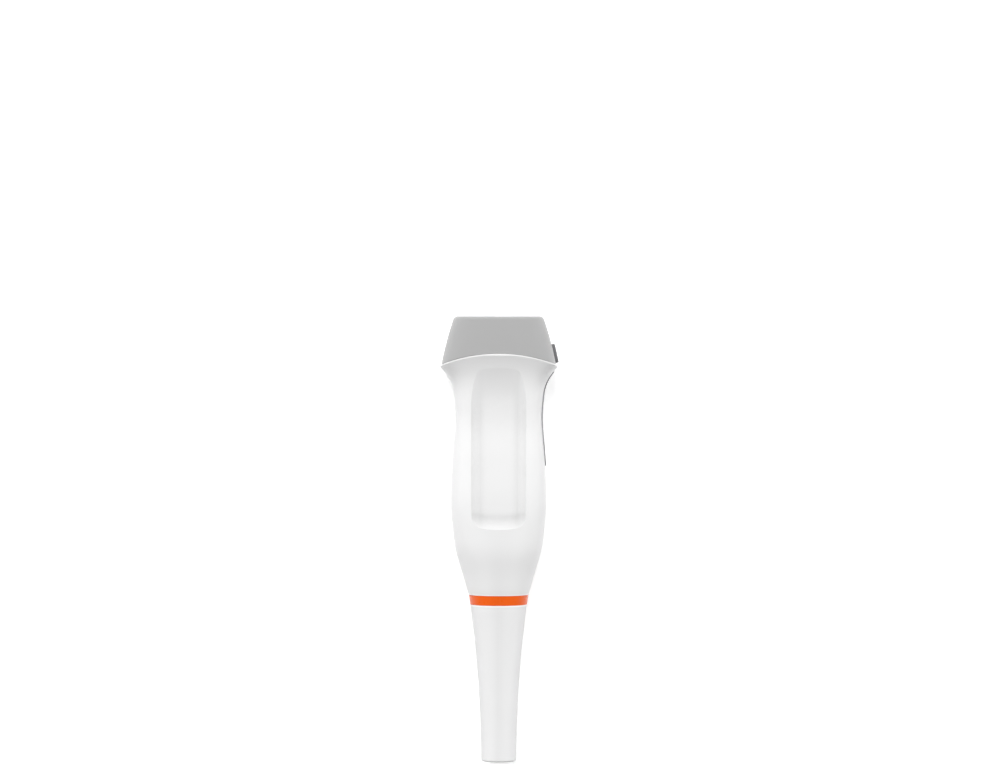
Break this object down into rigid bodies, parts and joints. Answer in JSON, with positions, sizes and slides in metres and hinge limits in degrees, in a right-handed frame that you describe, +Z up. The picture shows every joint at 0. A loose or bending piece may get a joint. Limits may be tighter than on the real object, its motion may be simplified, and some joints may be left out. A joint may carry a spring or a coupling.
{
  "type": "ultrasound transducer probe",
  "caption": "Hand-held ultrasound probe: grey nose with a flush lens, white waisted handle with arched collar and thumb recesses, orange ring and tapered cable strain relief.",
  "frame": {"origin": "on the table under the middle of the probe, which lies on its back with the front thumb recess up", "axes": "+Y along the probe towards the scanning face, +X to the side with the orientation marker, +Z up through the front face"},
  "size_m": [0.0378, 0.1416, 0.027],
  "materials": {
    "white_plastic": "satin",
    "grey_plastic": "satin",
    "lens_silicone": "matte",
    "dark_plastic": "satin",
    "strip_elastomer": "matte",
    "orange_plastic": "satin",
    "white_elastomer": "matte",
    "seal_rubber": "matte",
    "matching_resin": "matte",
    "copper_foil": "satin",
    "piezo_ceramic": "matte",
    "polyimide_film": "gloss",
    "loaded_resin": "matte",
    "carrier_aluminium": "satin",
    "screw_steel": "satin",
    "frame_plastic": "matte",
    "board_laminate": "satin",
    "connector_plastic": "satin",
    "shield_metal": "satin"
  },
  "bodies": {
    "root": {"front_housing": "white_plastic", "rear_housing": "white_plastic", "nose_piece": "grey_plastic", "acoustic_lens": "lens_silicone", "orientation_marker": "dark_plastic", "marker_strip": "strip_elastomer", "colour_ring": "orange_plastic", "strain_relief": "white_elastomer", "nose_seal": "seal_rubber", "outer_matching_layer": "matching_resin", "inner_matching_layer": "matching_resin", "ground_foil": "copper_foil", "piezo_elements": "piezo_ceramic", "flex_circuit": "polyimide_film", "backing_block": "loaded_resin", "array_carrier": "carrier_aluminium", "cable_clamp": "carrier_aluminium", "carrier_screws": "screw_steel", "clamp_screws": "screw_steel", "inner_frame": "frame_plastic", "interconnect_board": "board_laminate", "front_film_socket": "connector_plastic", "rear_film_socket": "connector_plastic", "front_wire_header": "connector_plastic", "rear_wire_header": "connector_plastic", "front_shield": "shield_metal", "rear_shield": "shield_metal"}
  },
  "joints": []
}
